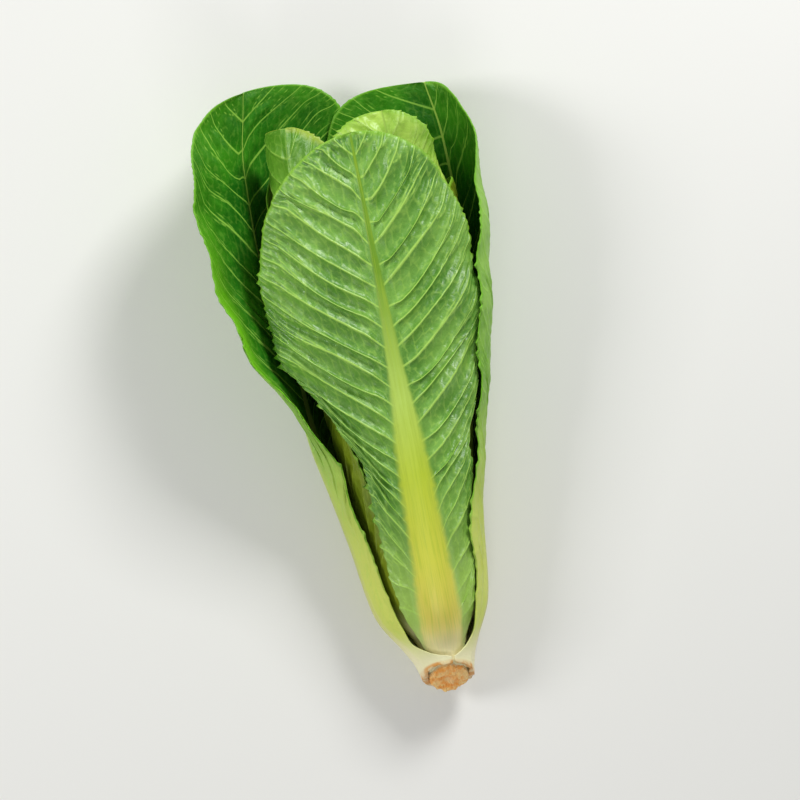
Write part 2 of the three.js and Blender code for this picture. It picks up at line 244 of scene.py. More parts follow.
def stem_grid():
    """Rings from the middle of the cut out to its edge, then up the side to the top."""
    angle = np.arange(STEM_SIDES) / STEM_SIDES * 2 * math.pi
    wear = billow(angle * 6, angle * 0, 1.0, WEAR_SEED)
    edge = CUT_EDGE_WEAR * wear * np.sin(angle / 2) ** 2
    rings = []
    for k in range(1, CUT_RINGS + 1):
        share = k / CUT_RINGS
        radius = STEM_RADIUS * share
        x, z = radius * np.cos(angle), radius * np.sin(angle)
        tear = CUT_TEAR * billow(x, z, 3.2, TEAR_SEED)
        tear = tear + CUT_GRAIN * billow(x * 1.6, z * 0.7, 1.1, GRAIN_SEED)
        dome = CUT_DOME * (1 - share ** 2) - CUT_EDGE_DROP * smooth(0.86, 1, share)
        s = CUT_HEIGHT + CUT_SLANT * z / STEM_RADIUS - tear - dome + edge * share ** 6
        rings.append((x, s, axis_height(s) + z, share, 1.0))
    rim = rings[-1][1]
    for k in range(1, STEM_RINGS + 1):
        share = (k / STEM_RINGS) ** 1.3
        s = rim + (STEM_TOP - rim) * share
        swell = STEM_UNEVEN * billow(angle * 5, s, 1.5, UNEVEN_SEED)
        radius = stem_radius(s) * (1 - 0.02 * (k < 2)) + swell * (k < STEM_RINGS)
        wound = 1.0 - smooth(0, WOUND_DEPTH, s - rim)
        rings.append((radius * np.cos(angle), s, axis_height(s) + radius * np.sin(angle), 1.0, wound))
    return rings


def build_stem():
    """The stem's mesh: a point in the middle of the cut, the rings, and a point at the top."""
    points, wound, core = [(0, CUT_HEIGHT - CUT_DOME, axis_height(CUT_HEIGHT))], [1.0], [0.0]
    for x, s, z, share, hurt in stem_grid():
        points.extend(zip(x, s, z))
        wound.extend(np.broadcast_to(hurt, x.shape))
        core.extend(np.full(x.shape, share))
    top = len(points)
    points.append((0, STEM_TOP + 0.1, axis_height(STEM_TOP)))
    wound.append(0.0)
    core.append(1.0)
    faces = []
    for side in range(STEM_SIDES):
        after = (side + 1) % STEM_SIDES
        faces.append((0, 1 + side, 1 + after))
        for ring in range(CUT_RINGS + STEM_RINGS - 1):
            low, high = 1 + ring * STEM_SIDES, 1 + (ring + 1) * STEM_SIDES
            faces.append((low + side, high + side, high + after, low + after))
        last = top - STEM_SIDES
        faces.append((last + side, top, last + after))
    points = np.array(points, float)
    attributes = {"sheet": points, "wound": wound, "core": core}
    material = finished("dried_stem", stem_surface)
    make_piece("stem", points, faces, attributes, material, "stem", "cut_stem")


build_stem()

# Outer leaves
# The three large leaves that wrap the head: one open on the left with its dark inner face up, one on
# the right, one over the front. Each is a soft blade with a thick rib, raised veins and a toothed edge.
# Lengths are in millimetres, and places along the head are counted from its cut end.
BLADE = 0.75
RIM_BLADE = 0.5
STEM_CLEARANCE = 1.25
CUT_LEAF_RISE, CUT_LEAF_EASE = 1.6, 16
TORN_DEPTH, TORN_EASE = 0.8, 5
SPREAD_LENGTH, HOOD_LENGTH = 35, 55
FLAT_SHARE, FLAT_FROM, FLAT_FULL = 0.85, 0.75, 0.95
FLARE_ANGLE = math.radians(60)
FLARE_RUN = 70
WIDEST_ANGLE = 62
GRIP_FROM, GRIP_FREE, GRIP_GROWTH = 50, 130, 90
TUCK_FROM, TUCK_TO = math.radians(271), math.radians(279)
TUCK_EASE = 0.2
COVER_STEP = 3
RIB_SHARE, RIB_ROOM, RIB_REACH = 0.8, 1.3, 0.45
RIB_COLUMNS = 0.2
COLLAR_FULL, COLLAR_END, COLLAR_LIFT = 12, 27, 1.5
BASE_GAP, BASE_FULL, BASE_END = 0.2, 8, 20
BOW_FROM, BOW_FULL, BOW_EASE, BOW_TO = 2, 32, 115, 165
VEIN_CROWDING = 0.15
VEIN_SLANT = 0.8
NET_CELLS, NET_SIZE = 61, 3.4
TEETH_EACH_VEIN, TEETH_DRAWN = 2.6, 257
WAVE_RUN = 6
STRAND_HEIGHT = 0.12
MARCH_STEPS = 14
TORN_SEED, SWELL_SEED, RUFFLE_SEED, TEETH_SEED, WANDER_SEED, FORK_SEED, NET_SEED = (
    5, 20, 33, 50, 70, 300, 900)

# Half the head's width and its height above the axis, by distance from the cut end.
half_width = curve_through([
    (0, 10.4), (14, 11.2), (22, 14), (42, 22), (75, 27.5), (110, 34.5), (150, 44), (190, 51.5),
    (230, 55.5), (260, 55), (290, 50), (300, 48),
])
half_top = curve_through([
    (0, 10.4), (14, 11.2), (22, 14), (42, 21.5), (75, 26), (110, 31), (150, 35.5), (190, 38.5),
    (230, 39.5), (270, 37.5), (300, 33),
])
underside_share = curve_through([
    (0, 0.52), (14, 0.53), (22, 0.63), (42, 0.9), (60, 1), (215, 1), (250, 0.88), (290, 0.7), (300, 0.66),
])
# The rib and the outline of a leaf, by share of the leaf's length.
rib_height = curve_through([
    (0, 1.6), (0.06, 4.2), (0.14, 5), (0.25, 4.4), (0.45, 3), (0.7, 1.6), (0.9, 0.8), (1, 0),
])
rib_half_width = curve_through([
    (0, 8.5), (0.06, 11.5), (0.14, 13), (0.28, 11.5), (0.45, 8.5), (0.65, 5.5), (0.85, 3.2), (1, 2),
])
inner_outline = curve_through([
    (0, 0.1), (0.05, 0.2), (0.14, 0.36), (0.25, 0.46), (0.39, 0.66), (0.53, 0.86), (0.7, 1), (1, 1),
])
rib_band = curve_through([
    (0, 11.5), (0.1, 11.3), (0.2, 9.6), (0.35, 9.1), (0.42, 7.9), (0.49, 6.1), (0.61, 3.7),
    (0.76, 2), (1, 0.6),
])
vein_lead = curve_through([(0, 0), (0.1, 0.1), (0.2, 0.19), (0.5, 0.38), (0.8, 0.68), (1, 1)])


def outer_outline(hip, waist):
    """Width of one side of an outer leaf, whose hip is its lower bulge."""
    return curve_through([
        (0, 0.19), (0.05, 0.75 * hip), (0.12, 0.92 * hip), (0.21, hip), (0.3, hip + 0.03 - 0.2 * waist),
        (0.39, 0.6 * hip + 0.29 - waist), (0.49, 0.35 * hip + 0.58 - 1.2 * waist), (0.62, 0.955),
        (0.7, 1), (1, 1),
    ])


def half_bottom(s):
    """Depth of the head below its axis before the floor flattens it."""
    return (axis_height(s) - BLADE / 2) / FLAT_SHARE * underside_share(s)


def flattened(sine):
    """Sine of an angle below the axis, levelled off where the head rests on the floor."""
    eased = sine - (sine - FLAT_FROM) ** 2 / (2 * (FLAT_FULL - FLAT_FROM))
    return np.where(sine < FLAT_FROM, sine, np.where(sine > FLAT_FULL, FLAT_SHARE, eased))


def layer_share(leaf, s):
    """Size of a leaf's layer as a share of the head's, from the stem's out to its own."""
    smallest = np.minimum(np.minimum(half_width(s), half_top(s)), FLAT_SHARE * half_bottom(s))
    start = (stem_radius(s) + leaf["clearance"]) / smallest
    t = np.clip((s - leaf["base"]) / SPREAD_LENGTH, 0, 1)
    spread = 1 - (1 - t) ** 2.5
    hooded = 1 - leaf["hood"] * smooth(leaf["tip"] - HOOD_LENGTH, leaf["tip"], s)
    return (start + (leaf["layer"] - start) * spread) * hooded


def layer_radius(leaf, s):
    """Mean radius of a leaf's layer."""
    return layer_share(leaf, s) * (half_width(s) + half_top(s)) / 2


def rib_reach(leaf, s):
    """Half width of the thick part of the rib."""
    wanted = rib_half_width((s - leaf["base"]) / leaf["length"])
    if leaf["place"] < COVER_STEP:
        return wanted
    return np.minimum(wanted, RIB_REACH * layer_radius(leaf, s))


def rib_angle(leaf, s):
    """Angle of the rib round the axis, which may turn from the base to the tip."""
    share = np.clip(s / leaf["tip"], 0, 1)
    return np.radians(leaf["angle"][0] + (leaf["angle"][1] - leaf["angle"][0]) * share)


class Section:
    """Cross-sections of one leaf's layer at an array of distances along the head."""

    def __init__(self, leaf, s):
        self.leaf = leaf
        self.width, self.top, self.bottom = half_width(s), half_top(s), half_bottom(s)
        self.layer = layer_share(leaf, s)
        self.rib = rib_angle(leaf, s)
        self.growth = smooth(leaf["flare_from"], leaf["flare_from"] + FLARE_RUN, s)
        self.bow = leaf["bow"] * smooth(BOW_FROM, BOW_FULL, s) * (1 - smooth(BOW_EASE, BOW_TO, s))

    def point(self, angle):
        """Place across and up from the axis, at an angle round it."""
        turned = angle - self.rib
        flare = np.where(turned > 0, self.leaf["flare"][1], self.leaf["flare"][0]) * self.growth
        share = self.layer * (1 + flare * (turned / FLARE_ANGLE) ** 2)
        share = share * (1 - self.leaf["tuck"] * (1 - smooth(TUCK_FROM, TUCK_TO, angle)))
        sine, cosine = np.sin(angle), np.cos(angle)
        rise = np.where(sine >= 0, self.top * sine, -self.bottom * flattened(-sine))
        bowed = 1 + self.bow * smooth(0.2, 0.9, -cosine)
        return share * self.width * cosine * bowed, share * rise

    def direction(self, angle):
        """Millimetres across and up for each radian that the angle grows."""
        step = 0.001
        before, after = self.point(angle - step), self.point(angle + step)
        return (after[0] - before[0]) / (2 * step), (after[1] - before[1]) / (2 * step)

    def angle_across(self, across):
        """Angle reached by going this many millimetres round from the rib."""
        stride = across / MARCH_STEPS
        angle = self.rib.copy()
        for _ in range(MARCH_STEPS):
            half = angle + stride / 2 / np.hypot(*self.direction(angle))
            angle = angle + stride / np.hypot(*self.direction(half))
        return angle


def blade_half_width(leaf, side, s):
    """Width of one side of a leaf, limited by how far round its layer it may reach."""
    v = np.clip((s - leaf["base"]) / leaf["length"], 0, 1)
    past = np.maximum((v - leaf["round_from"]) / (1 - leaf["round_from"]), 0)
    shape = leaf["top_shape"][side]
    rounded = (1 - past ** shape) ** (1 / shape)
    collar = math.radians(leaf["collar"][side]) * (1 - smooth(COLLAR_FULL, COLLAR_END, s))
    collar = collar * layer_radius(leaf, s)
    wanted = leaf["width"][side] * leaf["outline"][side](v) * rounded + collar
    grip = WIDEST_ANGLE
    if leaf["grip"]:
        grip = leaf["grip"][side] + GRIP_GROWTH * smooth(GRIP_FROM, GRIP_FREE, s)
    return np.minimum(wanted, np.radians(grip) * layer_radius(leaf, s) + collar)


def rib_height_at(leaf, s):
    """Height of the rib, which has to fit under the leaf that covers it."""
    grown = smooth(leaf["base"], leaf["rib_from"], s) if leaf["rib_from"] else 1
    wanted = rib_height((s - leaf["base"]) / leaf["length"]) * grown
    if leaf["place"] < COVER_STEP:
        return wanted
    cover = leaves[leaf.get("cover", leaf["place"] - COVER_STEP)]
    room = (layer_share(cover, s) - layer_share(leaf, s)) * np.minimum(half_width(s), half_top(s))
    return np.maximum(np.minimum(wanted, RIB_SHARE * room - RIB_ROOM), 0)


def cell_gap(x, y, size, seed):
    """Distance from the nearest boundary of uneven cells, the meshes of the vein net."""
    draw = np.random.default_rng(seed).uniform(0.12, 0.88, (NET_CELLS, NET_CELLS, 2))
    u, v = x / size + 23.4, y / size + 11.9
    i, j = np.floor(u).astype(int), np.floor(v).astype(int)
    first, second = np.full(u.shape, 9.0), np.full(u.shape, 9.0)
    for di in (-1, 0, 1):
        for dj in (-1, 0, 1):
            jitter = draw[(i + di) % NET_CELLS, (j + dj) % NET_CELLS]
            gap = np.hypot(i + di + jitter[..., 0] - u, j + dj + jitter[..., 1] - v)
            second = np.minimum(second, np.maximum(first, gap))
            first = np.minimum(first, gap)
    return (second - first) * size / 2


def tooth_profile(phase, side, seed):
    """Height from 0 to 1 of the uneven teeth along an edge."""
    place = phase * TEETH_EACH_VEIN + 0.35 * np.sin(phase * 1.7 + side) + 40 * side
    tooth = np.floor(place).astype(int)
    size = np.random.default_rng(seed).uniform(0.1, 1, TEETH_DRAWN)[tooth % TEETH_DRAWN] ** 1.5
    run = place - tooth
    return size * np.where(run < 0.7, (run / 0.7) ** 2.2, ((1 - run) / 0.3) ** 1.2)


def leaf_grid(leaf):
    """Flat outline of a leaf as a grid whose rows follow the side veins."""
    side_columns = leaf["columns"]
    steps = np.linspace(-1, 1, leaf["vein_rows"] + 1)[:-1]
    phases = [k + 0.5 * np.sign(w) * abs(w) ** 1.5 for k in range(leaf["veins"] + 1) for w in steps]
    phases = np.array([p for p in phases if 0.02 < p < leaf["veins"] - 0.02])
    phases = np.concatenate([[0], phases, [leaf["veins"] - 0.015]])
    even = phases / leaf["veins"]
    crowd = 1 + VEIN_CROWDING
    t = (crowd - np.sqrt(crowd ** 2 - 4 * VEIN_CROWDING * even)) / (2 * VEIN_CROWDING)
    t, phase = t[:, None], phases[:, None]
    column = np.arange(-side_columns, side_columns + 1)[None, :]
    reach, sign = np.abs(column) / side_columns, np.sign(column)
    rib_at = leaf["base"] + leaf["length"] * t
    edge_at = rib_at + leaf["length"] * (1 - t) * vein_lead(t)
    widest = np.where(sign > 0, blade_half_width(leaf, 1, edge_at), blade_half_width(leaf, 0, edge_at))
    rib = np.minimum(rib_reach(leaf, rib_at), 0.6 * widest)
    in_blade = (reach - RIB_COLUMNS) / (1 - RIB_COLUMNS)
    out = np.where(reach <= RIB_COLUMNS, rib * reach / RIB_COLUMNS, rib + (widest - rib) * in_blade)
    share = out / np.maximum(widest, 1e-6)
    high_teeth = tooth_profile(phase, 1, leaf["place"])
    low_teeth = tooth_profile(phase, 0, leaf["place"] + TEETH_SEED)
    teeth = np.where(sign > 0, high_teeth, low_teeth)
    long_teeth = leaf["teeth"] * smooth(0.02, 0.1, t) * (1 - leaf["calm_tip"] * smooth(0.42, 0.72, t))
    out = out + (teeth - 0.25) * long_teeth * smooth(0.95, 1, share) * smooth(2, 8, widest)
    seed = leaf["place"] + WANDER_SEED
    wander = billow(phase + 0 * share, 9 * sign + 1.8 * share, 1.0, seed)
    wander = (0.45 * wander + 0.25 * sign) * leaf["length"] / leaf["veins"] * smooth(0, 0.2, share)
    wander = wander * smooth(0, 0.1, t) * (1 - smooth(0.85, 0.97, t)) * (1 - smooth(0.8, 1, share))
    lean = leaf["lean"] * sign * out * smooth(0.45, 0.95, t)
    along = rib_at + (edge_at - rib_at) * (0.7 * share + 0.3 * share ** 2) + lean + wander
    return t + 0 * share, phase + 0 * share, share, sign * out, along, widest


def side_vein_gaps(leaf, phase, share, spacing):
    """Distances in millimetres from the side veins and from their forks."""
    nearest = np.round(phase)
    vein_gap = np.abs(phase - nearest) * spacing
    fork_gap = np.full(phase.shape, 99.0)
    seed = leaf["place"] + FORK_SEED
    draw = np.random.default_rng(seed).uniform(0, 1, (leaf["veins"] + 3, 3))
    for direction in (-1, 1):
        origin = np.clip(np.floor(phase) if direction > 0 else np.ceil(phase), 0, leaf["veins"] + 2)
        chance = draw[origin.astype(int)]
        start = 0.3 + 0.35 * chance[..., 0] + (0.12 if direction < 0 else 0)
        run = np.clip((share - start) / (1 - start), 0, 1)
        path = origin + direction * (0.3 + 0.2 * chance[..., 1]) * run ** 0.8
        gap = np.abs(phase - path) * spacing + 99 * (share < start + 0.02)
        fork_gap = np.minimum(fork_gap, gap)
    return vein_gap, fork_gap


class Blade:
    """One leaf on its grid: where each point lies, and how far it stands off the leaf's layer."""

    def __init__(self, leaf):
        self.leaf = leaf
        t, phase, self.share, self.across, self.along, self.widest = leaf_grid(leaf)
        self.angle = Section(leaf, self.along).angle_across(self.across)
        self.s = self.set_on_cut() if leaf["place"] < COVER_STEP else self.along
        self.section = Section(leaf, self.s)
        self.rise = (self.along - leaf["base"]) / leaf["length"]
        self.spacing = leaf["length"] / leaf["veins"] * VEIN_SLANT
        self.vein_gap, self.fork_gap = side_vein_gaps(leaf, phase, self.share, self.spacing)
        seed = leaf["place"] + NET_SEED
        self.net_gap = cell_gap(0.75 * self.across, 1.1 * phase * self.spacing, NET_SIZE, seed)
        self.rib_gap = np.abs(self.across) / rib_reach(leaf, self.along)
        self.off_rib = smooth(0.6, 1.5, self.rib_gap) * smooth(0, 0.1, t)
        self.pressed = smooth(0.6, 0.92, -np.sin(self.angle))

    def set_on_cut(self):
        """Distances along the head, with the end of the leaf moved onto the slanted, torn cut."""
        base, along = self.leaf["base"], self.along
        lift = cut_height(self.angle) + CUT_LEAF_RISE - base
        s = along + lift * (1 - smooth(base, base + CUT_LEAF_EASE, along))
        torn = TORN_DEPTH * billow(self.angle * 5, along * 0, 1.0, self.leaf["place"] + TORN_SEED)
        return s + torn * (1 - smooth(base, base + TORN_EASE, along))

    def waves(self):
        """Long waves that grow towards the edge."""
        waving = self.leaf["wave"] * self.share ** 2 * smooth(0.15, 0.45, self.rise)
        return waving * np.sin(self.s / WAVE_RUN + self.leaf["place"] * 2.1 + np.sign(self.across))

    def quilting(self):
        """Pillows between the veins and ruffles of the edge, both gentler near the stem."""
        leaf, share, across, along = self.leaf, self.share, self.across, self.along
        near_vein = np.minimum(self.vein_gap, self.fork_gap * 1.3)
        uneven = 0.75 + 0.35 * billow(across, along, 9, leaf["place"])
        pillow = smooth(0, 0.46 * self.spacing, near_vein) * uneven
        small_pillow = smooth(0, 1.5, self.net_gap)
        swell = billow(across, along, 24, leaf["place"] + SWELL_SEED)
        grown = 0.3 + 0.7 * smooth(0.12, 0.45, self.rise)
        quilt = leaf["quilt"] * self.off_rib * (1 - 0.45 * smooth(0.85, 1, share)) * grown
        quilt = quilt * (0.45 - 0.95 * pillow - 0.2 * small_pillow + 0.35 * swell)
        ruffle = 0.5 * leaf["quilt"] * grown * share ** 6
        return quilt, ruffle * billow(along, across * 0, 4.5, leaf["place"] + RUFFLE_SEED)

    def collar_lift(self):
        """How far a collar that reaches round the base stands off the leaf beneath it."""
        if sum(self.leaf["collar"]) == 0:
            return 0
        wrapped = (self.angle - self.section.rib) * (-1 if self.leaf["collar"][0] > 0 else 1)
        lifted = smooth(0.45, 0.85, wrapped) * (1 - smooth(COLLAR_END, COLLAR_END + 12, self.s))
        return COLLAR_LIFT * lifted

    def curl(self):
        """How far the edge curls inwards, on the lower half of a leaf."""
        curl = np.where(self.across > 0, self.leaf["curl"][1], self.leaf["curl"][0])
        curl = curl * smooth(0.6, 1, self.share) * smooth(25, 45, self.along)
        return curl * (1 - smooth(0.75, 0.95, self.rise))

    def ridges(self):
        """Height of the raised veins, their forks and the net."""
        veining, share = self.leaf["veining"], self.share
        size = self.off_rib * (1 - 0.65 * share) * veining
        vein = size * np.exp(-(self.vein_gap / (0.85 - 0.35 * share)) ** 2)
        fork = 0.6 * size * np.exp(-(self.fork_gap / 0.6) ** 2)
        net = 0.14 * veining * self.off_rib * np.exp(-(self.net_gap / 0.42) ** 2)
        return (np.maximum(vein, fork) + net * (1 - 0.5 * vein)) * (1 - self.pressed)

    def base_fill(self):
        """Extra thickness that brings the base of an outer leaf close to the stem."""
        if self.leaf["place"] >= COVER_STEP:
            return 0
        fill = self.leaf["clearance"] - BLADE / 2 - BASE_GAP
        fill = fill * (1 - smooth(BASE_FULL, BASE_END, self.s))
        if self.leaf["tuck"]:
            fill = fill * smooth(TUCK_TO, TUCK_TO + TUCK_EASE, self.angle)
        return fill

    def sides(self):
        """Points of the back, which carries the rib, and of the inner face."""
        quilt, ruffle = self.quilting()
        middle = (self.waves() + quilt + ruffle) * (1 - self.pressed)
        middle = middle + self.collar_lift() - self.curl()
        rim = smooth(1, 0.965, self.share)
        half = (BLADE + (RIM_BLADE - BLADE) * (1 - rim)) / 2
        half = np.where(self.pressed > 0.5, BLADE / 2, half)
        rib = rib_height_at(self.leaf, self.along) * (1 - np.minimum(self.rib_gap, 1) ** 2) ** 1.4
        strands = STRAND_HEIGHT * np.sin(self.across * 2.4 + 0.6 * np.sin(self.along / 17))
        strands = strands * (1 - smooth(0.5, 0.9, self.rib_gap))
        ridge = self.ridges()
        back = middle + half + rib + (ridge + strands * (rib > 0.6)) * rim
        inside = middle - half - 0.35 * ridge * rim - self.base_fill()
        x, z = self.section.point(self.angle)
        dx, dz = self.section.direction(self.angle)
        length = np.hypot(dx, dz)
        height = axis_height(self.s) + z
        return [
            np.stack([x + dz / length * off, self.s, height - dx / length * off], axis=-1)
            for off in (back, inside)
        ]

    def measures(self):
        """What the leaf's material reads at each point."""
        share, across = self.share, self.across
        number = np.full(share.shape, 40.0 * self.leaf["place"])
        return {
            "sheet": np.stack([across, self.along, number], axis=-1),
            "vein_gap": self.vein_gap / (1 - 0.55 * share),
            "fork_gap": self.fork_gap / (1 - 0.4 * share),
            "net_gap": self.net_gap,
            "rib_gap": np.abs(across) / (self.leaf["band"] * rib_band(self.rise)),
            "rim_gap": (1 - share) * self.widest,
            "rise": self.rise,
        }


def shell_faces(rows, columns):
    """Faces of the closed shell between two grids, the back first and then the inner face."""
    row, column = np.meshgrid(np.arange(rows - 1), np.arange(columns - 1), indexing="ij")
    low = (row * columns + column).ravel()
    far = rows * columns
    outer = np.stack([low, low + columns, low + columns + 1, low + 1], axis=-1)
    inner = np.stack([low, low + 1, low + columns + 1, low + columns], axis=-1) + far
    ring = list(range(columns)) + [k * columns + columns - 1 for k in range(1, rows)]
    ring += [(rows - 1) * columns + k for k in range(columns - 2, -1, -1)]
    ring += [k * columns for k in range(rows - 2, 0, -1)]
    ring = np.array(ring)
    after = np.roll(ring, -1)
    rim = np.stack([ring, after, after + far, ring + far], axis=-1)
    return np.concatenate([outer, inner, rim]).tolist()


TORN_COLOUR = paint(216, 152, 76)


def leaf_surface(tones):
    """Shader of a leaf blade, from the colours of its two faces, its veins and its rib."""

    def build(start):
        place = start.measured("sheet", 1)
        back = start.measured("back")
        rise = start.measured("rise")
        rib_gap = start.measured("rib_gap")
        rim_gap = start.measured("rim_gap")
        broad = start.noise(place, 0.035, 3.0, 0.6)
        mottle = start.noise(place, 0.22, 4.0, 0.6)
        grain = start.noise(place, 1.1, 3.0, 0.65)
        mesh = start.add(
            "ShaderNodeTexVoronoi", {"feature": "DISTANCE_TO_EDGE"}, {"Vector": place, "Scale": 0.42})
        uneven = 0.75 * broad + 0.25 * mottle
        inner_face = uneven.ranged(0.36, 0.64).mixed(tones["inner_deep"], tones["inner_bright"])
        back_face = uneven.ranged(0.36, 0.64).mixed(tones["back_deep"], tones["back_bright"])
        margin = rim_gap.ranged(22.0, 1.0, 0.0, 0.85) * rise.ranged(0.85, 0.55, 0.1, 1.0)
        inner_face = margin.mixed(inner_face, tones["inner_margin"])
        blade = back.mixed(inner_face, back_face)
        low = rise.ranged(tones["pale_to"], tones["pale_from"], 0.0, 0.9)
        low_inside = rise.ranged(tones["inner_pale_to"], tones["inner_pale_to"] - 0.3, 0.0, 0.9)
        low_tone = back.mixed(tones["inner_pale"], tones["pale"])
        blade = (low_inside + back * (low - low_inside)).mixed(blade, low_tone)
        net = start.measured("net_gap").ranged(0.05, 0.4, 0.8, 0.0)
        fine = mesh.ranged(0.0, 0.07, 0.3, 0.0) + net
        away = rib_gap.ranged(0.7, 1.2)
        blade = (fine * away * tones["net"]).mixed(blade, tones["vein"])
        fork = start.measured("fork_gap").ranged(0.15, 0.6, tones["vein_share"] * 0.75, 0.0)
        vein = start.measured("vein_gap").ranged(0.2, tones["vein_width"], tones["vein_share"], 0.0)
        reached = rise.ranged(tones["vein_from"], tones["vein_from"] + 0.2)
        drawn = vein.maths("MAXIMUM", vein, fork) * reached
        blade = drawn.mixed(blade, tones["vein"])
        rim = rim_gap.ranged(0.3, 1.3, 0.75, 0.0) * rise.ranged(0.1, 0.3)
        blade = rim.mixed(blade, tones["rim"])
        strand_place = start.add(
            "ShaderNodeVectorMath", {"operation": "MULTIPLY"}, {0: place, 1: (1.6, 0.05, 1.0)})
        strand = start.noise(strand_place, 1.0, 2.0, 0.5)
        rib_colour = start.add("ShaderNodeValToRGB", {"stops": tones["rib"]}, {"Fac": rise})
        rib_colour = (strand.ranged(0.42, 0.7) * 0.4).mixed(rib_colour, tones["rib_streak"])
        rib_edge = rib_gap + (mottle - 0.5) * 0.35
        rib = rib_edge.ranged(tones["rib_core"], tones["rib_fade"], 1.0, 0.0)
        colour = rib.mixed(blade, rib_colour)
        colour = rise.ranged(0.1, tones["base_full"], 0.0, 0.85).mixed(colour, tones["base"])
        torn = rise.ranged(0.014, 0.004) * mottle.ranged(0.35, 0.6, 0.3, 1.0) * tones["torn"]
        colour = torn.mixed(colour, TORN_COLOUR)
        height = 0.75 * mesh.ranged(0.0, 0.3) * away + 0.25 * grain
        relief = start.add(
            "ShaderNodeBump", {}, {"Strength": 0.35, "Distance": 0.0002, "Height": height})
        rough = mottle.ranged(0.3, 0.7, tones["gloss"] - 0.06, tones["gloss"] + 0.1)
        sockets = {
            "Base Color": colour, "Roughness": rough, "Normal": relief,
            "Specular IOR Level": tones["shine"],
        }
        return start.add("ShaderNodeBsdfPrincipled", {}, sockets)

    return build


# A leaf's angle, collar and grip are in degrees round the axis, with its sides in that order. Its tip,
# base, width, teeth and curl are in millimetres, and its layer is a share of the head's radius.
LEAF_DEFAULTS = {
    "flare": (0, 0), "flare_from": 100, "top_shape": (2.2, 2.2), "round_from": 0.7, "lean": 0,
    "wave": 0.5, "hood": 0, "tuck": 0, "bow": 0, "collar": (0, 0), "waist": (0, 0),
    "clearance": STEM_CLEARANCE, "rib_from": 0, "grip": None, "hip": None, "veining": 0.7,
    "quilt": 0.6, "teeth": 3.2, "curl": (0, 0), "band": 0.8, "calm_tip": 0.8,
}
DARK_TONES = {
    "inner_deep": paint(22, 98, 12), "inner_bright": paint(54, 134, 18),
    "inner_margin": paint(136, 222, 30), "base": paint(242, 236, 196), "base_full": 0.03,
    "inner_pale_to": 0.5, "inner_pale": paint(190, 208, 90), "back_deep": paint(108, 160, 52),
    "back_bright": paint(140, 188, 76), "pale": paint(208, 216, 102), "pale_from": 0.16, "pale_to": 0.52,
    "vein": paint(150, 204, 76), "vein_width": 0.6, "vein_share": 0.9, "net": 0.2,
    "rim": paint(118, 184, 44), "rib_streak": paint(176, 192, 96), "rib_core": 0.6, "rib_fade": 0.95,
    "gloss": 0.42, "shine": 0.3, "vein_from": 0.25, "torn": 1,
    "rib": [
        (0, paint(230, 222, 170)), (0.12, paint(208, 210, 126)), (0.3, paint(182, 198, 100)),
        (0.5, paint(176, 208, 96)), (0.8, paint(166, 206, 84)),
    ],
}
FRONT_TONES = {
    "inner_deep": paint(54, 118, 28), "inner_bright": paint(86, 150, 44),
    "inner_margin": paint(104, 172, 44), "base": paint(244, 236, 194), "base_full": -0.01,
    "inner_pale_to": 0.5, "inner_pale": paint(180, 198, 90), "back_deep": paint(82, 136, 44),
    "back_bright": paint(116, 166, 66), "pale": paint(172, 206, 92), "pale_from": 0, "pale_to": 0.36,
    "vein": paint(164, 206, 88), "vein_width": 0.65, "vein_share": 0.9, "net": 0.4,
    "rim": paint(134, 188, 48), "rib_streak": paint(160, 186, 48), "rib_core": 0.6, "rib_fade": 1.05,
    "gloss": 0.4, "shine": 0.5, "vein_from": -0.2, "torn": 0,
    "rib": [
        (0, paint(226, 216, 150)), (0.07, paint(222, 206, 92)), (0.2, paint(208, 210, 70)),
        (0.36, paint(186, 206, 52)), (0.5, paint(182, 212, 92)), (0.74, paint(106, 150, 28)),
    ],
}
outer_leaves = [
    {"angle": (188, 194), "tip": 296, "layer": 1, "width": (49, 71), "hip": (0.34, 0.585),
     "grip": (44, 84), "collar": (70, 0), "bow": 0.13, "flare": (1.28, 0), "flare_from": 108,
     "top_shape": (3.2, 3.2), "round_from": 0.72, "lean": 0.11, "wave": 1.5, "base": 5,
     "slot": "dark_leaf", "veins": 25, "vein_rows": 11, "columns": 72, "quilt": 1.0, "veining": 0.6,
     "curl": (2.0, 0)},
    {"angle": (334, 319), "tip": 287, "layer": 1, "width": (65, 50), "hip": (0.44, 0.63),
     "grip": (66, 57), "collar": (0, 44), "flare": (0, 0.03), "flare_from": 60,
     "top_shape": (3.4, 2), "lean": -0.08, "wave": 1.1, "tuck": 0.068, "base": 5,
     "slot": "dark_leaf", "veins": 24, "vein_rows": 10, "columns": 70, "quilt": 1.0, "veining": 0.6,
     "curl": (0, 1.0)},
    {"angle": (86, 91), "tip": 267, "layer": 0.87, "width": (53, 59), "hip": (0.6, 0.4),
     "waist": (0, 0.1), "grip": (70, 60), "clearance": 0.7, "rib_from": 30, "flare": (0.05, 0.25),
     "flare_from": 102, "top_shape": (2, 2), "lean": -0.05, "wave": 1, "base": 12.5,
     "slot": "front_leaf", "veins": 27, "vein_rows": 11, "columns": 72, "quilt": 1.9,
     "veining": 1.8, "teeth": 4.8, "band": 1, "bow": 0.07},
]


def completed(leaf, place):
    """A leaf with the defaults filled in, its place among the leaves, and its outline."""
    leaf = {**LEAF_DEFAULTS, **leaf, "place": place}
    leaf["length"] = leaf["tip"] - leaf["base"]
    leaf["outline"] = [inner_outline, inner_outline]
    if leaf["hip"]:
        leaf["outline"] = [outer_outline(*sizes) for sizes in zip(leaf["hip"], leaf["waist"])]
    return leaf


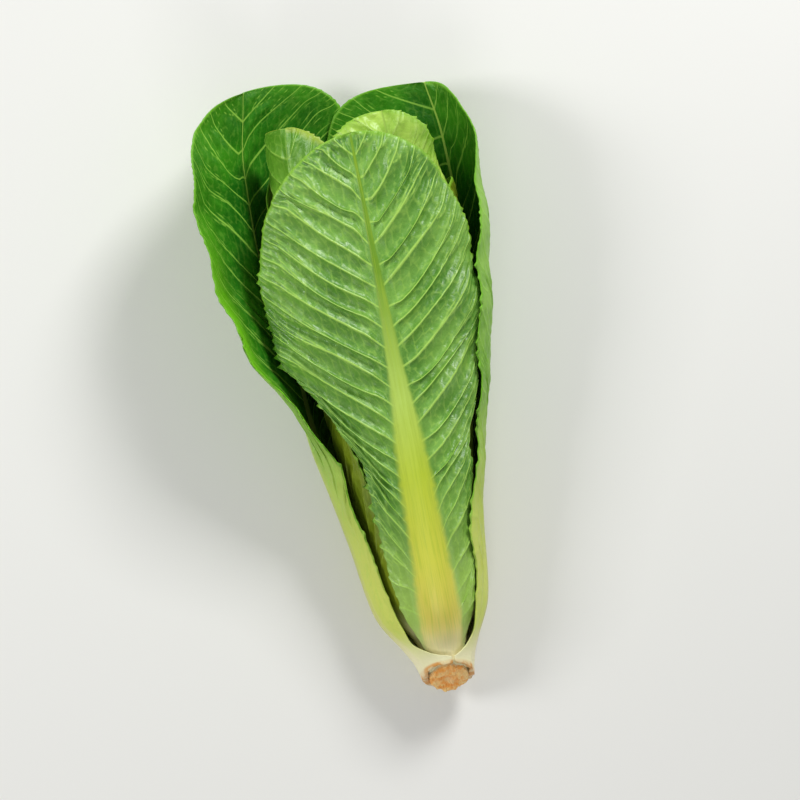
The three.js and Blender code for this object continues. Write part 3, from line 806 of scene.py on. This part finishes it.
def build_leaf(leaf, material):
    """The mesh of one leaf, a closed shell from its base to its tip."""
    blade = Blade(leaf)
    back, inside = blade.sides()
    rows, columns = back.shape[:2]
    measures = {}
    for key, values in blade.measures().items():
        values = values.reshape(rows * columns, -1).squeeze()
        measures[key] = np.concatenate([values, values])
    measures["back"] = np.concatenate([np.ones(rows * columns), np.zeros(rows * columns)])
    points = np.concatenate([back.reshape(-1, 3), inside.reshape(-1, 3)])
    node = f"leaf_{leaf['place'] + 1:02d}"
    faces = shell_faces(rows, columns)
    make_piece(f"lettuce_{node}", points, faces, measures, material, leaf["slot"], node)


leaves = [completed(leaf, place) for place, leaf in enumerate(outer_leaves)]
dark_blade = finished("dark_blade", leaf_surface(DARK_TONES))
front_blade = finished("front_blade", leaf_surface(FRONT_TONES))
build_leaf(leaves[0], dark_blade)
build_leaf(leaves[1], dark_blade)
build_leaf(leaves[2], front_blade)

# Middle leaves
# Five leaves under the outer ones. The two whose tops show behind the front leaf are paler than it,
# with a softer rib, and the others fill the gaps at the sides and below.
MIDDLE_TONES = {
    **FRONT_TONES,
    "inner_deep": paint(88, 138, 34), "inner_bright": paint(118, 162, 44),
    "back_deep": paint(120, 172, 42), "back_bright": paint(176, 214, 84), "pale": paint(178, 192, 72),
    "vein": paint(170, 206, 96), "rib_streak": paint(178, 192, 90),
    "rib": [
        (0, paint(206, 202, 128)), (0.15, paint(190, 194, 90)), (0.4, paint(156, 180, 64)),
        (0.7, paint(136, 184, 56)),
    ],
}
middle_leaves = [
    {"angle": (172, 238), "tip": 262, "layer": 0.805, "width": (50, 40), "base": 22, "bow": 0.1,
     "band": 0.5, "quilt": 0.4},
    {"angle": (352, 350), "tip": 240, "layer": 0.777, "width": (42, 42), "base": 21.8},
    {"angle": (142, 140), "tip": 275, "layer": 0.74, "width": (42, 42), "base": 23.6,
     "cover": 3, "flare": (0, 0.01), "top_shape": (1.9, 4.2), "vein_rows": 12, "columns": 46,
     "band": 0.3, "quilt": 0.8, "calm_tip": 0.4, "slot": "front_leaf", "blade": "shaded"},
    {"angle": (280, 280), "tip": 258, "layer": 0.7, "width": (40, 40), "base": 25.4},
    {"angle": (57, 64), "tip": 275, "layer": 0.66, "width": (40, 40), "base": 27.2,
     "flare": (0.06, 0), "wave": 1.6, "top_shape": (2.1, 2.8), "vein_rows": 14, "columns": 50,
     "teeth": 4.5, "quilt": 1.3, "calm_tip": 0, "slot": "front_leaf", "blade": "lime"},
]
MIDDLE_DETAIL = {"veins": 20, "vein_rows": 8, "columns": 30, "slot": "dark_leaf", "blade": "olive"}
SHADED_TONES = {
    **MIDDLE_TONES, "back_deep": paint(88, 148, 34), "back_bright": paint(122, 178, 52),
    "vein": paint(150, 196, 76), "rim": paint(164, 186, 60),
    "rib": [(0, paint(206, 202, 128)), (0.5, paint(126, 180, 56))],
}
OLIVE_TONES = {
    **MIDDLE_TONES, "back_deep": paint(96, 118, 14), "back_bright": paint(122, 142, 26),
    "vein": paint(138, 158, 44), "pale": paint(136, 150, 30),
}
blades = {
    "lime": finished("lime_blade", leaf_surface(MIDDLE_TONES)),
    "shaded": finished("shaded_blade", leaf_surface(SHADED_TONES)),
    "olive": finished("olive_blade", leaf_surface(OLIVE_TONES)),
}
for leaf in middle_leaves:
    leaves.append(completed({**MIDDLE_DETAIL, **leaf}, len(leaves)))
    build_leaf(leaves[-1], blades[leaves[-1]["blade"]])

# Heart leaves
# Twelve young leaves packed round the axis, shorter and paler towards the middle. They are thin and
# tender, their tips bend inwards, and little light reaches them.
HEART_TONES = {
    **MIDDLE_TONES,
    "inner_deep": paint(158, 184, 66), "inner_bright": paint(196, 208, 100),
    "back_deep": paint(160, 186, 66), "back_bright": paint(204, 214, 108),
    "vein": paint(216, 222, 140), "rim": paint(190, 206, 92), "pale": paint(214, 216, 128),
    "rib": [(0, paint(232, 230, 182)), (0.5, paint(216, 220, 140)), (0.9, paint(192, 208, 110))],
}
HEART_ANGLE, HEART_TURN = 195, 137.5
HEART_LAYER, HEART_LAYER_STEP = 0.62, 0.04
HEART_BASE, HEART_BASE_STEP = 29, 1.8
HEART_WIDTH, HEART_WIDTH_ADDED = 52, 2
heart_tips = [250, 250, 246, 240, 236, 230, 222, 212, 200, 186, 168, 148]
HEART_DETAIL = {
    "hood": 0.2, "veins": 13, "vein_rows": 6, "columns": 14, "slot": "heart_leaf", "quilt": 0.3,
    "veining": 0.4, "teeth": 1.0,
}
heart_blade = finished("heart_blade", leaf_surface(HEART_TONES))
for k, tip in enumerate(heart_tips):
    layer = HEART_LAYER - HEART_LAYER_STEP * k
    angle = HEART_ANGLE + HEART_TURN * k
    width = HEART_WIDTH * layer + HEART_WIDTH_ADDED
    leaf = {
        **HEART_DETAIL, "angle": (angle, angle), "tip": tip, "layer": layer, "width": (width, width),
        "base": HEART_BASE + HEART_BASE_STEP * k,
    }
    leaves.append(completed(leaf, len(leaves)))
    build_leaf(leaves[-1], heart_blade)

# Floor
# A plain pale sheet of painted board that the head lies on. It is large enough to fill the picture
# from every side, and it isn't part of the head.
FLOOR_HALF = 3.0


def floor_surface(start):
    sockets = {"Base Color": paint(226, 226, 222), "Roughness": 0.8}
    return start.add("ShaderNodeBsdfPrincipled", {}, sockets)


floor_mesh = bpy.data.meshes.new("floor")
corners = [(x * FLOOR_HALF, y * FLOOR_HALF, 0) for x, y in ((-1, -1), (1, -1), (1, 1), (-1, 1))]
floor_mesh.from_pydata(corners, [], [(0, 1, 2, 3)])
floor_mesh.materials.append(finished("floor_sheet", floor_surface))
floor = bpy.data.objects.new("floor", floor_mesh)
bpy.context.collection.objects.link(floor)

# Lights
# Soft studio light: a lamp beyond the tips on the right, a broader one on the left, a weak one at the
# stem, and a pale surround that fills the shadows. Colours are shown as they are, without a film curve.
SURROUND = 0.3
lamps = [
    ("key_lamp", (0.6, 0.8, 0.8), 0.35, 11.3),
    ("fill_lamp", (-0.9, 0.3, 0.8), 0.4, 6.2),
    ("stem_lamp", (-0.1, -0.9, 0.9), 0.5, 2.8),
]
for name, place, size, power in lamps:
    light = bpy.data.lights.new(name, "AREA")
    light.size = size
    light.energy = power
    lamp = bpy.data.objects.new(name, light)
    lamp.location = place
    lamp.rotation_euler = (-Vector(place)).to_track_quat("-Z", "Y").to_euler()
    bpy.context.collection.objects.link(lamp)
world = bpy.data.worlds.new("studio")
world.use_nodes = True
world.node_tree.nodes["Background"].inputs["Color"].default_value = (1, 1, 1, 1)
world.node_tree.nodes["Background"].inputs["Strength"].default_value = SURROUND
bpy.context.scene.world = world
bpy.context.scene.view_settings.view_transform = "Standard"

# Camera
# It looks straight down on the head through a long lens from far away, so that nothing is stretched.
# It is turned a little, so that the tips of the leaves lean to the left.
SENSOR_WIDTH = 36
VIEW_WIDTH = 0.376
VIEW_DISTANCE = 3.0
VIEW_LEAN = math.radians(10.13)
VIEW_MIDDLE = (0.24, 140.4)
FOCUS_HEIGHT = 0.05
camera_data = bpy.data.cameras.new("camera")
camera_data.sensor_width = SENSOR_WIDTH
camera_data.lens = SENSOR_WIDTH * VIEW_DISTANCE / VIEW_WIDTH
camera_data.clip_end = 20
camera = bpy.data.objects.new("camera", camera_data)
camera.location = (
    (VIEW_MIDDLE[0] + head_x) * MILLIMETRE, (VIEW_MIDDLE[1] + head_y) * MILLIMETRE,
    VIEW_DISTANCE + FOCUS_HEIGHT,
)
camera.rotation_euler = (0, 0, -VIEW_LEAN)
bpy.context.collection.objects.link(camera)
bpy.context.scene.camera = camera
